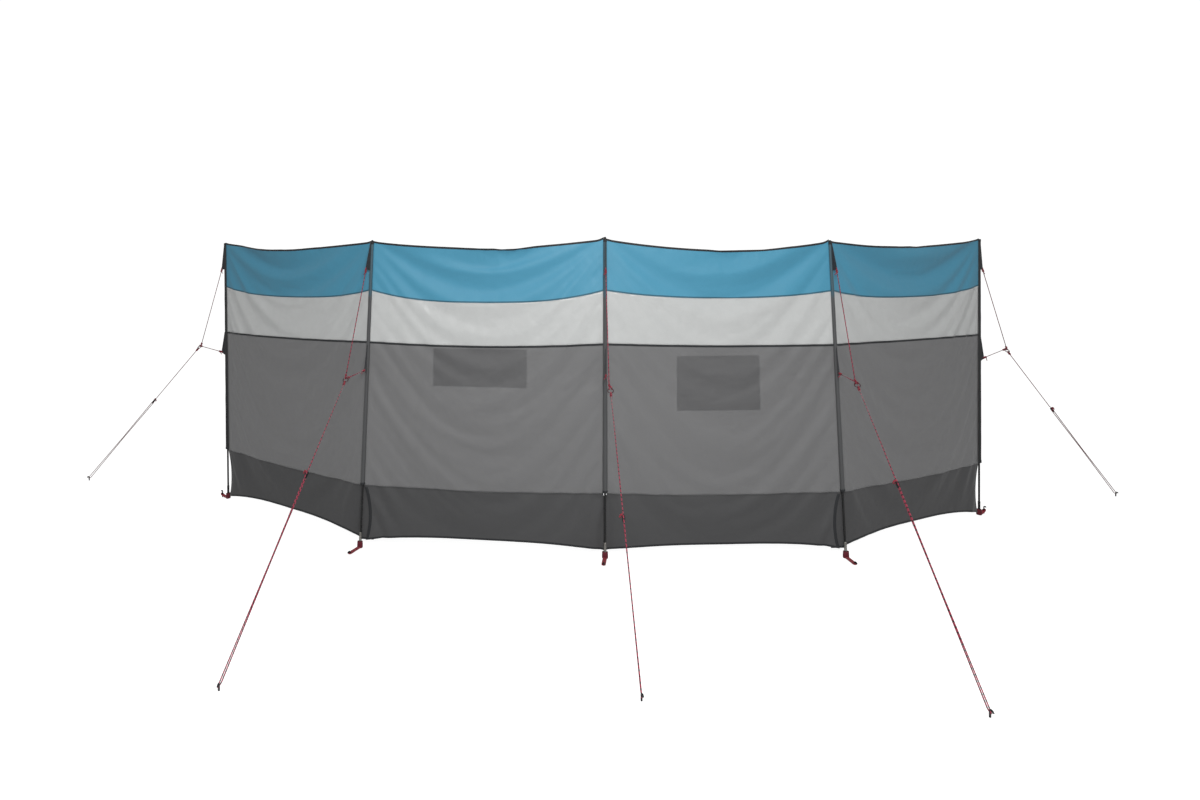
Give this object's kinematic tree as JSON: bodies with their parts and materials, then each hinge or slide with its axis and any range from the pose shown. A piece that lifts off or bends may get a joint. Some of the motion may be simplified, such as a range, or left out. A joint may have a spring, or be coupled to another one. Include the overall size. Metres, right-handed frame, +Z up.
{
  "type": "beach windbreak",
  "caption": "Free-standing cloth windbreak: poles in sleeves, bays of banded cloth with a see-through window strip, forked guy lines to ground pegs.",
  "frame": {"origin": "middle of the flat lower end of the centre pole's ferrule, on the ground", "axes": "+X along the row of poles, to the right seen from the outer side, where the middle guys are; +Y towards the sheltered side; +Z up"},
  "size_m": [5.8793, 2.369, 1.4143],
  "materials": {
    "pole_rod": "black fibreglass rod, smooth",
    "sleeve_cloth": "coated polyester sleeve, plain weave",
    "blue_cloth": "coated polyester, plain weave, satin",
    "window_film": "pale translucent film, lightly crinkled",
    "wall_cloth": "thin coated polyester, plain weave",
    "skirt_cloth": "heavier coated polyester, plain weave",
    "guy_cord": "red braided cord with dark flecks",
    "ferrule": "bright plated steel tube",
    "black_plastic": "moulded black plastic",
    "pocket_cloth": "coated polyester, plain weave",
    "binding": "woven binding tape",
    "tab_webbing": "dark woven webbing",
    "ring_metal": "dark enamelled ring",
    "peg_steel": "black painted steel rod",
    "red_webbing": "dark red woven webbing"
  },
  "bodies": {
    "root": {"pole_1": "pole_rod", "pole_2": "pole_rod", "pole_3": "pole_rod", "pole_4": "pole_rod", "pole_5": "pole_rod", "sleeve_1": "sleeve_cloth", "sleeve_2": "sleeve_cloth", "sleeve_3": "sleeve_cloth", "sleeve_4": "sleeve_cloth", "sleeve_5": "sleeve_cloth", "blue_band_1": "blue_cloth", "blue_band_2": "blue_cloth", "blue_band_3": "blue_cloth", "blue_band_4": "blue_cloth", "window_1": "window_film", "window_2": "window_film", "window_3": "window_film", "window_4": "window_film", "wall_1": "wall_cloth", "wall_2": "wall_cloth", "wall_3": "wall_cloth", "wall_4": "wall_cloth", "skirt_1": "skirt_cloth", "skirt_2": "skirt_cloth", "skirt_3": "skirt_cloth", "skirt_4": "skirt_cloth", "guy_line_1": "guy_cord", "guy_line_2": "guy_cord", "guy_line_3": "guy_cord", "guy_line_4": "guy_cord", "guy_line_5": "guy_cord", "pole_ferrules": "ferrule", "pole_caps": "black_plastic", "pocket_2": "pocket_cloth", "pocket_3": "pocket_cloth", "top_binding": "binding", "seam_tape": "binding", "bottom_binding": "binding", "top_tabs": "tab_webbing", "mid_tabs": "tab_webbing", "guy_rings": "ring_metal", "guy_sliders": "black_plastic", "ground_pegs": "peg_steel", "foot_straps": "red_webbing", "foot_loops": "red_webbing"}
  },
  "joints": []
}
